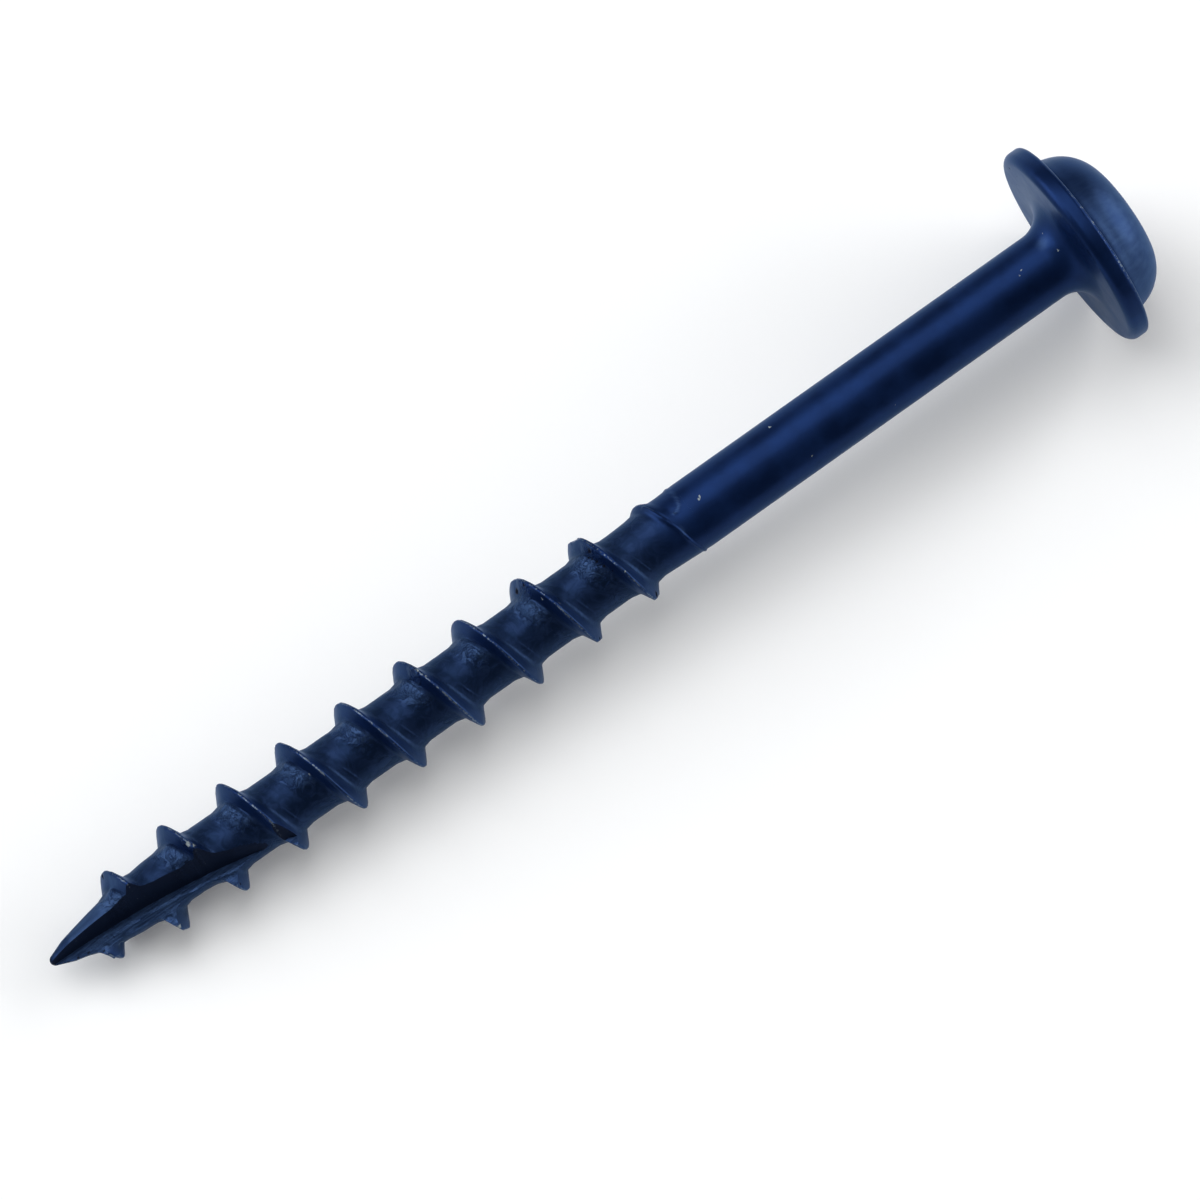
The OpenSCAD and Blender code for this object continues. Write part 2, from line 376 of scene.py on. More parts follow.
def blankRadius(turn, height):
    crestHeight, offset = toothPlace(turn, height)
    grown = growth(crestHeight)
    core = coreRadius(height)
    tooth = toothProfile(offset)
    crestRadius = core + toothHeight * grown
    for mark in bluntCrests:
        near = nearMark(crestHeight, turn, crestRadius, mark)
        if near > 0:
            tooth = min(tooth, toothHeight - mark["depth"] * near)
    radius = core - pressed(turn, height) * (1 - tooth / toothHeight) + grown * tooth
    radius += sum(mark["rise"] * nearMark(height, turn, crestRadius, mark) for mark in threadMarks)
    radius += max(line["rise"] * nearLine(height, turn, line) for line in raisedLines)
    # rolling mark, heaps, lumps of thick coating between the teeth, and a slightly ragged crest
    sizes = lumpSizes
    around = Vector((math.cos(math.radians(turn)), math.sin(math.radians(turn)), 0)) * core
    place = around + Vector((0, 0, height))
    valley = grown * (1 - ease(tooth / sizes["toothHeight"]))
    rollMark = 1 - ease(abs(offset - threadSizes["rollMark"]) / threadSizes["rollMarkWidth"])
    rollMark *= inSector(turn, sectors["rollMark"])
    radius += threadSizes["rollMarkRise"] * grown * rollMark
    uneven = sizes["heapEven"] + sizes["heapUneven"] * lumpAt(place, sizes["heap"])
    radius += threadSizes["heapRise"] * grown * heaped(turn, offset) * uneven
    radius += valley * (
        sizes["valleyRise"] * lumpAt(place, sizes["valley"])
        + sizes["fineValleyRise"] * lumpAt(place, sizes["fineValley"]))
    crest = ease((tooth / toothHeight - sizes["crestStart"]) / sizes["crestFade"])
    radius += grown * crest * (
        sizes["crestRise"] * lumpAt(place, sizes["crest"])
        + sizes["fineCrestRise"] * lumpAt(place, sizes["fineCrest"]) - sizes["crestDrop"])
    for mark in roughPlaces:
        radius += mark["rise"] * nearMark(height, turn, crestRadius, mark) * lumpAt(place, sizes["torn"])
    end = pointSizes["endRound"]
    if height < end:
        radius *= math.sqrt(max(pointSizes["endFlat"], 1 - (1 - height / end) ** 2))
    return radius


def makeBlank():
    toothRows = [0, 0.03, 0.06, 0.09, 0.13, 0.18, 0.23, 0.28, 0.33, 0.38, 0.44, 0.51, 0.6]
    valleyRows = [0.70, 0.80, 0.91, 1.02, 1.13, 1.24, 1.35]
    headRows = [0.66, 0.70, 0.74, 0.78, 0.84, 0.93, 1.02, 1.13, 1.24, 1.35]
    half = threadSizes["pitch"] / 2
    offsets = [-half] + [-row for row in reversed(toothRows[1:] + valleyRows)] + toothRows + headRows + [half]
    steps = threadSizes["stepsPerTurn"]
    turns = threadSizes["turns"]
    blank = bmesh.new()
    turnStart = Matrix.Rotation(math.radians(threadSizes["startTurn"]), 3, "Z")
    vertices = [
        blank.verts.new(turnStart @ Vector((threadSizes["coreRadius"], 0, offset - threadSizes["pitch"])))
        for offset in offsets
    ]
    edges = [blank.edges.new(pair) for pair in zip(vertices, vertices[1:])]
    bmesh.ops.spin(
        blank, geom=vertices + edges, cent=(0, 0, 0), axis=(0, 0, 1), angle=2 * math.pi * turns,
        dvec=(0, 0, threadSizes["pitch"] / steps), steps=turns * steps, use_merge=False)
    bmesh.ops.remove_doubles(blank, verts=blank.verts, dist=0.005)
    for end, normal in ((0.0, (0, 0, -1)), (screwSizes["shankStart"] + screwSizes["overlap"], (0, 0, 1))):
        whole = blank.verts[:] + blank.edges[:] + blank.faces[:]
        cut = bmesh.ops.bisect_plane(
            blank, geom=whole, plane_co=(0, 0, end), plane_no=normal, clear_outer=True, dist=0.0001)
        rim = [piece for piece in cut["geom_cut"] if isinstance(piece, bmesh.types.BMEdge)]
        bmesh.ops.contextual_create(blank, geom=rim)
    for vertex in blank.verts:
        height = vertex.co.z
        turn = math.degrees(math.atan2(vertex.co.y, vertex.co.x)) % 360
        radius = blankRadius(turn, height)
        vertex.co = leanAt(height) + Vector((
            radius * math.cos(math.radians(turn)), radius * math.sin(math.radians(turn)), height))
    bmesh.ops.recalc_face_normals(blank, faces=blank.faces)
    return blank


# ---- head and shank
def arc(centre, radius, fromAngle, toAngle, steps):
    angles = [math.radians(fromAngle + (toAngle - fromAngle) * k / steps) for k in range(steps + 1)]
    return [(centre[0] + radius * math.cos(angle), centre[1] + radius * math.sin(angle)) for angle in angles]


def headProfile():
    length, shank = screwSizes["length"], screwSizes["shankRadius"]
    washer, rim, topRim = headSizes["washerRadius"], headSizes["rimRound"], headSizes["topRound"]
    fillet = screwSizes["neckFillet"]
    top = length + headSizes["washerHeight"]
    crown = headSizes["domeRadius"] - headSizes["domeHeight"]
    start, rows = screwSizes["shankStart"], headSizes["shankRows"]
    first = start + headSizes["firstRow"]
    profile = [(0, start), (shank * 0.5, start), (shank - 0.003, start), (shank, start + 0.15)]
    profile += [(shank, first + (length - fillet - first) * k / rows) for k in range(rows)]
    profile += arc((shank + fillet, length - fillet), fillet, 180, 90, headSizes["filletSteps"])
    profile += [(washer - rim - 1.0, length), (washer - rim - 0.4, length)]
    profile += arc((washer - rim, length + rim), rim, -90, 0, headSizes["rimSteps"])
    profile += arc((washer - topRim, top - topRim), topRim, 0, 90, headSizes["topRimSteps"])
    profile += [(washer - 0.5, top), (headSizes["domeRadius"] + headSizes["domeFlare"] + 0.06, top)]
    dome = arc((crown, top), headSizes["domeHeight"], headSizes["domeStart"], 90, headSizes["domeSteps"])
    for radius, height in dome:
        flare = headSizes["domeFlare"] * (1 - ease((height - top) / headSizes["domeFlareHeight"]))
        profile.append((radius + flare, height))
    profile += [(crown * 0.6, crownHeight), (crown * 0.3, crownHeight), (0, crownHeight)]
    return profile


def makeHead():
    head = bmesh.new()
    vertices = [head.verts.new((radius, 0, height)) for radius, height in headProfile()]
    edges = [head.edges.new(pair) for pair in zip(vertices, vertices[1:])]
    bmesh.ops.spin(
        head, geom=vertices + edges, cent=(0, 0, 0), axis=(0, 0, 1), angle=2 * math.pi,
        steps=headSizes["steps"], use_merge=True)
    bmesh.ops.remove_doubles(head, verts=head.verts, dist=0.0005)
    bmesh.ops.recalc_face_normals(head, faces=head.faces)
    return head


# ---- cutters
# Burrs and lumps on the notch's floor and on the cut ends of the teeth, by height and distance from the axis
floorMarks = [
    {"height": 2.22, "reach": 0.73, "along": 0.20, "across": 0.18, "rise": 0.10},
    {"height": 2.45, "reach": 1.05, "along": 0.16, "across": 0.20, "rise": 0.05},
    {"height": 4.95, "reach": 1.36, "along": 0.20, "across": 0.18, "rise": 0.09},
    {"height": 5.20, "reach": 1.62, "along": 0.16, "across": 0.16, "rise": 0.06},
    {"height": 5.62, "reach": 1.30, "along": 0.14, "across": 0.16, "rise": 0.05},
    {"height": 7.92, "reach": 1.44, "along": 0.22, "across": 0.16, "rise": 0.08},
    {"height": 8.42, "reach": 1.40, "along": 0.14, "across": 0.12, "rise": 0.05},
    {"height": 10.70, "reach": 1.62, "along": 0.25, "across": 0.20, "rise": 0.09},
    {"height": 3.05, "reach": 0.83, "along": 0.30, "across": 0.12, "rise": 0.06},
    {"height": 3.75, "reach": 0.95, "along": 0.35, "across": 0.10, "rise": 0.05},
    {"height": 1.55, "reach": 0.62, "along": 0.40, "across": 0.10, "rise": 0.05},
]
# Streaks along the notch's floor, with their own places in the noise
floorStreaks = [
    {"rise": 0.010, "width": 0.09, "length": 2.4, "noisePlace": 3.0},
    {"rise": 0.006, "width": 0.04, "length": 1.1, "noisePlace": 8.0},
]
floorChannel = {"depth": 0.03, "fromWall": 0.42, "width": 0.10, "start": 2.0, "fade": 1.5}


def floorRise(height, reach, wall):
    # fine streaks along the notch, a shallow channel beside the wall, and the burrs
    streaks = 0.0
    for streak in floorStreaks:
        place = Vector((reach / streak["width"], height / streak["length"], streak["noisePlace"]))
        streaks += streak["rise"] * noise.noise(place)
    beside = 1 - ease(abs(reach - wall - floorChannel["fromWall"]) / floorChannel["width"])
    channel = -floorChannel["depth"] * beside * ease((height - floorChannel["start"]) / floorChannel["fade"])
    burrs = 0.0
    for mark in floorMarks:
        along = (height - mark["height"]) / mark["along"]
        across = (reach - mark["reach"]) / mark["across"]
        burrs += mark["rise"] * (1 - ease(math.hypot(along, across)))
    return streaks + channel + burrs


def notchWall(height):
    # distance of the notch's curved wall from the axis
    rise = threadSizes["coreRadius"] + notchSizes["past"]
    radius = (notchSizes["length"] ** 2 + rise ** 2) / (2 * rise)
    return radius - notchSizes["past"] - math.sqrt(radius ** 2 - height ** 2)


def makeNotchCutter():
    low, high = notchSizes["low"], notchSizes["length"] + notchSizes["pastEnd"]
    cutter = bmesh.new()
    bmesh.ops.create_grid(
        cutter, x_segments=notchSizes["wallSteps"], y_segments=notchSizes["floorSteps"], size=0.5)
    for vertex in cutter.verts:
        height = low + (vertex.co.x + 0.5) * (high - low)
        wall = notchWall(height)
        reach = wall + (vertex.co.y + 0.5) * (notchSizes["reach"] - wall)
        vertex.co = (reach, -floorRise(height, reach, wall), height)
    swept = bmesh.ops.extrude_face_region(cutter, geom=cutter.faces[:])["geom"]
    far = [piece for piece in swept if isinstance(piece, bmesh.types.BMVert)]
    for vertex in far:
        vertex.co.y = -2 * threadSizes["crestRadius"]
    turned = Matrix.Rotation(math.radians(notchSizes["turn"]), 4, "Z")
    bmesh.ops.transform(cutter, matrix=turned, verts=cutter.verts)
    bmesh.ops.recalc_face_normals(cutter, faces=cutter.faces)
    return cutter


def makeDriveCutter():
    flat = driveSizes["width"] / 2
    corner = driveSizes["cornerRadius"]
    fromFlat = math.degrees(math.acos(flat / corner))
    outline = []
    for side in (0, 90, 180, 270):
        outline += arc((0, 0), corner, side + fromFlat, side + 90 - fromFlat, driveSizes["cornerSteps"])
    cutter = bmesh.new()
    rim = [cutter.verts.new((x, y, 0)) for x, y in outline]
    swept = bmesh.ops.extrude_face_region(cutter, geom=[cutter.faces.new(rim)])["geom"]
    upper = [piece for piece in swept if isinstance(piece, bmesh.types.BMVert)]
    bmesh.ops.translate(cutter, vec=(0, 0, driveSizes["depth"] + driveSizes["cutterAbove"]), verts=upper)
    turned = Matrix.Rotation(math.radians(driveSizes["turn"]), 4, "Z")
    placed = Matrix.Translation((0, 0, crownHeight - driveSizes["depth"])) @ turned
    bmesh.ops.transform(cutter, matrix=placed, verts=cutter.verts)
    bmesh.ops.recalc_face_normals(cutter, faces=cutter.faces)
    return cutter


def makeDriveCone(depth, lowRadius, highRadius, height):
    cutter = bmesh.new()
    bmesh.ops.create_cone(
        cutter, cap_ends=True, segments=driveSizes["coneSteps"], radius1=lowRadius, radius2=highRadius,
        depth=height)
    bmesh.ops.remove_doubles(cutter, verts=cutter.verts, dist=0.0001)
    bmesh.ops.translate(cutter, vec=(0, 0, crownHeight - depth + height / 2), verts=cutter.verts)
    bmesh.ops.recalc_face_normals(cutter, faces=cutter.faces)
    return cutter


def fromMesh(mesh, name):
    thing = bpy.data.objects.new(name, mesh)
    bpy.context.scene.collection.objects.link(thing)
    return thing


def asObject(shape, name):
    mesh = bpy.data.meshes.new(name)
    shape.to_mesh(mesh)
    shape.free()
    return fromMesh(mesh, name)


def combined(base, others):
    # joins or cuts the others into the base with exact booleans, and clears them away
    for other, operation in others:
        step = base.modifiers.new(other.name, "BOOLEAN")
        step.operation = operation
        step.solver = "EXACT"
        step.object = other
    bpy.context.view_layer.update()
    mesh = bpy.data.meshes.new_from_object(base.evaluated_get(bpy.context.evaluated_depsgraph_get()))
    for thing in [base] + [other for other, operation in others]:
        oldMesh = thing.data
        bpy.data.objects.remove(thing)
        bpy.data.meshes.remove(oldMesh)
    return mesh


def makeScrew():
    flat = driveSizes["width"] / 2
    coneHeight = flat * math.tan(math.radians(driveSizes["coneAngle"]))
    leadHeight = driveSizes["lead"] + driveSizes["leadAbove"]
    cone = makeDriveCone(driveSizes["depth"] + coneHeight, 0, flat, coneHeight)
    lead = makeDriveCone(driveSizes["lead"], flat, flat + leadHeight, leadHeight)
    head = combined(asObject(makeHead(), "head"), [
        (asObject(makeDriveCutter(), "drive"), "DIFFERENCE"),
        (asObject(cone, "cone"), "DIFFERENCE"),
        (asObject(lead, "lead"), "DIFFERENCE"),
    ])
    print("head is cut")
    blank = combined(asObject(makeBlank(), "blank"), [(asObject(makeNotchCutter(), "notch"), "DIFFERENCE")])
    print("thread is cut")
    mesh = combined(fromMesh(blank, "thread"), [(fromMesh(head, "head"), "UNION")])
    mesh.name = "coated_screw"
    mesh.transform(restPose)
    return fromMesh(mesh, "coated_screw")


# ---- coating
coatingLook = {
    "navy": (0.0068, 0.0215, 0.086, 1),
    "deepNavy": (0.0048, 0.0155, 0.063, 1),
    "coreNavy": (0.0096, 0.0220, 0.066, 1),
    "deepCore": (0.0066, 0.0170, 0.050, 1),
    # painted shade: the notch wall's colour, darkened to stand in for the shade in the notch
    "notchShadeNavy": (0.0040, 0.0088, 0.027, 1),
    "paleBlue": (0.0420, 0.0820, 0.182, 1),
    "metal": 0.65,           # the pigment has a metallic cast
    "roughness": 0.37,
    "coreRoughness": 0.44,
    "paleAndStreakRoughness": 0.50,
    "notchRoughness": 0.9,
    "specular": 0.14,
    "specularTint": (0.52, 0.71, 1.0, 1),
    "steel": (0.15, 0.19, 0.23, 1),
    "steelRoughness": 0.40,
    # painted shade: near-black, standing in for the shade inside pits and dents
    "pitShade": (0.006, 0.006, 0.007, 1),
    "speck": (0.26, 0.30, 0.31, 1),
    "steelMetal": 0.8,
    "steelShare": 0.8,
    "pitShadeShare": 0.9,
    # ranges of noise, and the shares that they turn into
    "twoBlues": (0.35, 0.65),
    "coreBlues": (0.36, 0.64),
    # painted highlight: pale patches on the lumps of each tooth's tip side
    "lumpHighlights": (0.50, 0.62, 0.0, 0.40),
    # pale marks and painted highlights: dome, heaps, flanks and point facet facing the lamps, and the neck
    "paleAndHighlights": (0.30, 0.70, 0.34, 0.62),
    "streaks": (0.38, 0.62, 0.18, 0.62),
    "wear": (0.3, 0.7, 0.80, 1.15),
    "worn": (1.66, 1.92),
    "unevenGloss": (0.3, 0.7, -0.04, 0.04),
    "wornRaggedness": 1.5,
    "wrinkleMiddle": 0.52,   # wrinkles lie where the coarse noise is near this value
    "wrinkleWidth": 0.035,
    # painted shade: how much the wrinkle lines are darkened
    "wrinkleShadeShare": 0.7,
    "spotRaggedness": 0.22,  # how far the edges of specks and spots of painted pit shade wander
    "spotOuter": 1.15,       # the edge of a spot, as shares of its radius
    "spotInner": 0.55,
    # heights of the bumps, in shares of the bump distance
    "peelBump": 0.5,
    "fineBump": 0.12,
    "lumpBump": 12.0,
    "floorLumps": 0.4,
    "wrinkleBump": 2.4,
    "bumpDistance": 0.006,
}
noises = {
    "ragged": {"Scale": 9000, "Detail": 3.0, "Roughness": 0.6},
    "coarse": {"Scale": 1500, "Detail": 3.0, "Roughness": 0.55, "Distortion": 2.2},
    "mottle": {"Scale": 620, "Detail": 3.0, "Roughness": 0.55},
    "streaks": {"Scale": 14000, "Detail": 2.0, "Roughness": 0.6},
    "brushed": {"Scale": 3600, "Detail": 3.0, "Roughness": 0.55},
    "peel": {"Scale": 5200, "Detail": 2.0, "Roughness": 0.5},
    "fine": {"Scale": 26000, "Detail": 1.0, "Roughness": 0.5},
    "lumps": {"Scale": 4200, "Detail": 3.0, "Roughness": 0.6},
}
# Stretched coordinates: streaks run along the screw, rub marks at a slant
streakStretch = (0.06, 1, 1)
rubStretch = (0.14, 1, 1)
rubSlant = (0.6, 0.5, 0.9)
# Small pale specks and spots of painted shade in pits, by height, turn and distance from the axis, with their
# radius
paleSpecks = [
    (32.34, 177, 1.49, 0.065), (32.43, 175, 1.49, 0.05), (36.45, 144, 1.49, 0.05), (37.12, 227, 1.49, 0.05),
    (50.21, 148, 1.66, 0.035), (50.28, 185, 1.72, 0.045), (48.62, 176, 1.49, 0.05), (48.40, 181, 1.49, 0.035),
    (44.00, 168, 1.49, 0.03), (51.66, 179, 4.45, 0.07), (51.64, 188, 4.47, 0.05), (51.67, 219, 4.40, 0.05),
    (51.67, 240, 4.40, 0.05), (24.72, 168, 1.85, 0.06), (5.06, 252, 1.99, 0.11), (7.25, 168, 2.03, 0.13),
    (7.40, 173, 1.98, 0.08), (12.92, 178, 1.53, 0.04), (41.20, 240, 1.49, 0.03), (46.10, 120, 1.49, 0.03),
    (28.11, 201, 2.07, 0.05), (25.20, 186, 1.84, 0.035), (18.96, 153, 2.06, 0.06), (19.06, 166, 2.05, 0.05),
]
pitShadeSpots = [
    (24.19, 113, 1.64, 0.17), (24.50, 135, 1.95, 0.09), (27.47, 148, 1.77, 0.13), (28.76, 265, 1.88, 0.17),
    (28.49, 260, 1.91, 0.09), (25.83, 269, 1.96, 0.08), (3.75, 104, 1.70, 0.14), (50.80, 106, 4.10, 0.05),
    (50.80, 93, 3.44, 0.04), (50.80, 112, 3.70, 0.03), (50.80, 84, 4.02, 0.03), (51.70, 200, 3.90, 0.06),
    (10.79, 249, 1.95, 0.10), (8.09, 251, 1.97, 0.08), (27.36, 157, 1.56, 0.06), (0.63, 256, 0.40, 0.06),
    (1.05, 255, 0.51, 0.06), (1.50, 254, 0.57, 0.06), (2.05, 250, 0.95, 0.07),
    (27.30, 150, 1.53, 0.07), (27.44, 165, 1.55, 0.08), (27.59, 178, 1.57, 0.08), (27.75, 192, 1.64, 0.08),
    (27.93, 203, 1.84, 0.06),
]


def screwPoint(height, turn, radius):
    angle = math.radians(turn)
    return restPose @ (leanAt(height) + Vector((radius * math.cos(angle), radius * math.sin(angle), height)))


class Builder:
    # adds and joins shader nodes
    def __init__(self, material):
        material.use_nodes = True
        self.nodes, self.links = material.node_tree.nodes, material.node_tree.links

    def add(self, kind, inputs=None, **settings):
        node = self.nodes.new(kind)
        for name, value in settings.items():
            setattr(node, name, value)
        for socket, value in (inputs or {}).items():
            self.feed(node.inputs[socket], value)
        return node

    def feed(self, socket, value):
        if isinstance(value, bpy.types.NodeSocket):
            self.links.new(value, socket)
        else:
            socket.default_value = value

    def math(self, operation, first, second=0.0):
        return self.add("ShaderNodeMath", {0: first, 1: second}, operation=operation).outputs[0]

    def vectorMath(self, operation, *values):
        return self.add("ShaderNodeVectorMath", dict(enumerate(values)), operation=operation).outputs

    def noise(self, place, name):
        return self.add("ShaderNodeTexNoise", {"Vector": place, **noises[name]}).outputs["Fac"]

    def between(self, value, low, high, toLow=0.0, toHigh=1.0):
        return self.add("ShaderNodeMapRange", {
            "Value": value, "From Min": low, "From Max": high, "To Min": toLow, "To Max": toHigh},
            interpolation_type="SMOOTHSTEP").outputs[0]

    def mix(self, share, first, second):
        node = self.add("ShaderNodeMix", {0: share}, data_type="RGBA")
        self.feed(node.inputs[6], first)
        self.feed(node.inputs[7], second)
        return node.outputs[2]

    def attribute(self, name):
        return self.add("ShaderNodeAttribute", attribute_name=name).outputs["Fac"]

    def blend(self, share, first, second):
        return self.add("ShaderNodeMix", {0: share, 2: first, 3: second}, data_type="FLOAT").outputs[0]

    def spots(self, place, spots):
        # 1 inside any of the spots, with ragged edges
        look = coatingLook
        wander = [look["spotRaggedness"] * millimetre] * 3
        jitter = self.add("ShaderNodeTexNoise", {
            "Vector": place, "Scale": noises["ragged"]["Scale"], "Detail": 2.0}).outputs["Color"]
        jitter = self.vectorMath("SUBTRACT", jitter, (0.5, 0.5, 0.5))[0]
        place = self.vectorMath("MULTIPLY_ADD", jitter, wander, place)[0]
        everywhere = None
        for height, turn, radius, size in spots:
            away = self.vectorMath("DISTANCE", place, screwPoint(height, turn, radius))["Value"]
            outer, inner = size * look["spotOuter"] * millimetre, size * look["spotInner"] * millimetre
            inside = self.between(away, outer, inner)
            everywhere = inside if everywhere is None else self.math("MAXIMUM", everywhere, inside)
        return everywhere


def makeCoating():
    coating = bpy.data.materials.new("satin_navy")
    build = Builder(coating)
    shader = build.nodes["Principled BSDF"]
    look = coatingLook
    place = build.add("ShaderNodeTexCoord").outputs["Object"]
    tilt = math.atan2(axis.z, axis.x)
    along = build.add("ShaderNodeMapping", {
        "Vector": place, "Rotation": (0, tilt, 0), "Scale": streakStretch}).outputs[0]
    slant = build.add("ShaderNodeMapping", {
        "Vector": place, "Rotation": rubSlant, "Scale": rubStretch}).outputs[0]
    wear = build.attribute("wear")
    valley = build.attribute("valley")
    lumpsAndHighlight = build.attribute("lumpsAndHighlight")
    floor = build.attribute("notchFloor")
    wall = build.attribute("notchWall")
    paleAndHighlight = build.attribute("paleAndHighlight")

    ragged = build.noise(place, "ragged")
    coarse = build.noise(place, "coarse")
    mottle = build.noise(place, "mottle")
    streaks = build.noise(along, "streaks")
    brushed = build.noise(slant, "brushed")

    # colour: two blues, greyer between the teeth with patches of painted highlight, the notch wall darkened
    # with painted shade, streaks on the notch floor, and pale marks and painted highlights elsewhere
    colour = build.mix(build.between(mottle, *look["twoBlues"]), look["deepNavy"], look["navy"])
    coreColour = build.mix(build.between(coarse, *look["coreBlues"]), look["deepCore"], look["coreNavy"])
    colour = build.mix(valley, colour, coreColour)
    # painted highlight: the lumpy tip side of each tooth, which faces the lamps, is paled in patches
    lumpHighlights = build.math("MULTIPLY", build.between(coarse, *look["lumpHighlights"]), lumpsAndHighlight)
    colour = build.mix(lumpHighlights, colour, look["paleBlue"])
    # painted highlight on the lit dome, heaps, flanks, point facet and neck; pale marks on the lip and crest
    # run-out
    paleAndHighlights = build.math("MULTIPLY", build.between(brushed, *look["paleAndHighlights"]), paleAndHighlight)
    colour = build.mix(paleAndHighlights, colour, look["paleBlue"])
    # wrinkle lines in the lumps: bumped below, and darkened with painted shade
    fromMiddle = build.math("ABSOLUTE", build.math("SUBTRACT", coarse, look["wrinkleMiddle"]))
    shadedWrinkles = build.math("MULTIPLY", build.between(fromMiddle, look["wrinkleWidth"], 0.0), lumpsAndHighlight)
    colour = build.mix(build.math("MULTIPLY", shadedWrinkles, look["wrinkleShadeShare"]), colour, look["deepNavy"])
    # painted shade: the notch wall is darkened to stand in for the shade that falls in the notch
    colour = build.mix(wall, colour, look["notchShadeNavy"])
    streaked = build.math("MULTIPLY", build.between(streaks, *look["streaks"]), floor)
    colour = build.mix(streaked, colour, look["paleBlue"])

    # worn crests and edges show steel in a broken line
    exposed = build.math("MULTIPLY", wear, build.between(mottle, *look["wear"]))
    exposed = build.math("ADD", exposed, build.math("MULTIPLY", ragged, look["wornRaggedness"]))
    worn = build.between(exposed, *look["worn"])
    specks = build.spots(place, paleSpecks)
    pitShades = build.spots(place, pitShadeSpots)
    colour = build.mix(build.math("MULTIPLY", worn, look["steelShare"]), colour, look["steel"])
    colour = build.mix(specks, colour, look["speck"])
    # painted shade: pits and dents are painted near-black, and below are given no reflection
    colour = build.mix(build.math("MULTIPLY", pitShades, look["pitShadeShare"]), colour, look["pitShade"])
    build.feed(shader.inputs["Base Color"], colour)

    dull = build.math("MAXIMUM", build.math("MAXIMUM", specks, pitShades), wall)
    metal = build.blend(worn, look["metal"], look["steelMetal"])
    build.feed(shader.inputs["Metallic"], build.blend(dull, metal, 0.0))
    roughness = build.blend(valley, look["roughness"], look["coreRoughness"])
    roughness = build.blend(build.math("ADD", paleAndHighlights, streaked), roughness, look["paleAndStreakRoughness"])
    roughness = build.math("ADD", roughness, build.between(mottle, *look["unevenGloss"]))
    roughness = build.blend(worn, roughness, look["steelRoughness"])
    roughness = build.blend(wall, roughness, look["notchRoughness"])
    build.feed(shader.inputs["Roughness"], roughness)
    build.feed(shader.inputs["Specular IOR Level"], build.blend(pitShades, look["specular"], 0.0))
    shader.inputs["Specular Tint"].default_value = look["specularTint"]

    # orange peel everywhere, thicker lumps between the teeth
    peel = build.math("MULTIPLY", build.noise(place, "peel"), look["peelBump"])
    fine = build.math("MULTIPLY", build.noise(place, "fine"), look["fineBump"])
    lumps = build.math("ADD", coarse, build.noise(place, "lumps"))
    lumps = build.math("MULTIPLY", lumps, build.math(
        "ADD", lumpsAndHighlight, build.math("MULTIPLY", floor, look["floorLumps"])))
    height = build.math("ADD", peel, fine)
    height = build.math("ADD", height, build.math("MULTIPLY", lumps, look["lumpBump"]))
    height = build.math("ADD", height, build.math("MULTIPLY", shadedWrinkles, look["wrinkleBump"]))
    bump = build.add("ShaderNodeBump", {
        "Height": height, "Distance": look["bumpDistance"] * millimetre, "Strength": 1.0})
    build.feed(shader.inputs["Normal"], bump.outputs[0])
    return coating


# Where the coating is worn or lumpy, and where pale marks and painted highlights lie. Starts and ends along a
# tooth's section are distances from its crest, negative on the tip side.
wearSizes = {
    "leastTooth": 0.02,      # worn where the tooth is grown at least this much
    "toothFade": 0.2,
    "lineMiddle": -0.01,     # the worn line on each crest
    "lineWidth": 0.09,
    "lineEdge": 1.2,
    "lineDepth": 0.3,
    "depthEdge": 1.4,
    "coreFade": 3.2,         # the core takes on the shank's colour over this length
    "coreRise": 0.10,        # and the tooth's from this height up
    "coreEdge": 0.3,
    "lumpsLow": -0.25,       # lumps lie at these heights over the core
    "lumpsLowEdge": 0.1,
    "lumpsHigh": 0.25,
    "lumpsHighEdge": 0.2,
    "lumpsElsewhere": 0.10,
    "lumpsTipSide": 0.90,
    "smootherAside": 0.8,    # how much smoother it is away from the heaps
    "lumpsStart": -1.45,
    "lumpsSlope": 0.4,
    "lumpsEnd": -0.40,
    "lumpsEdge": 0.08,
    "tornGain": 3,
    # painted highlight on the heaps, head-side flanks and point facet that face the lamps
    "heapHighlight": 0.8,
    "flankHighlight": 0.42,
    "flankStart": -0.10,
    "flankEnd": 0.42,
    "flankEdge": 0.08,
    "facetHighlight": 0.9,
    "facetStart": 0.9,       # the facet of the point painted with highlight, by height
    "facetRise": 0.5,
    "facetEnd": 3.6,
    "facetFall": 1.2,
    "rimBelow": 0.14,        # the worn edge on top of the washer
    "rimAbove": 0.01,
    "rimInside": 0.24,
    "rimEdge": 0.08,
    "rimWear": 0.5,
    "rimMoreWear": 0.40,
    "domeStart": 0.02,
    "domeRise": 0.25,
    # painted highlight on the dome, most on its lit side
    "domeHighlight": 0.12,
    "domeMoreHighlight": 0.88,
    "sharpEdge": 38,         # sharper edges look sharp, and those near the notch are worn
    "hollowEdge": -60,
    "edgeWear": 0.62,
    "edgesPast": 2,
}
# How the notch's floor and wall are told from the faces around them, by place and facing
notchFaces = {
    "past": 1.5,             # past the notch's length
    "floorFacing": -0.5,
    "floorDepth": 0.16,
    "floorGap": 0.02,
    "wallFacing": 0.8,
    "wallDepth": 0.05,
    "wallTop": 0.02,
}


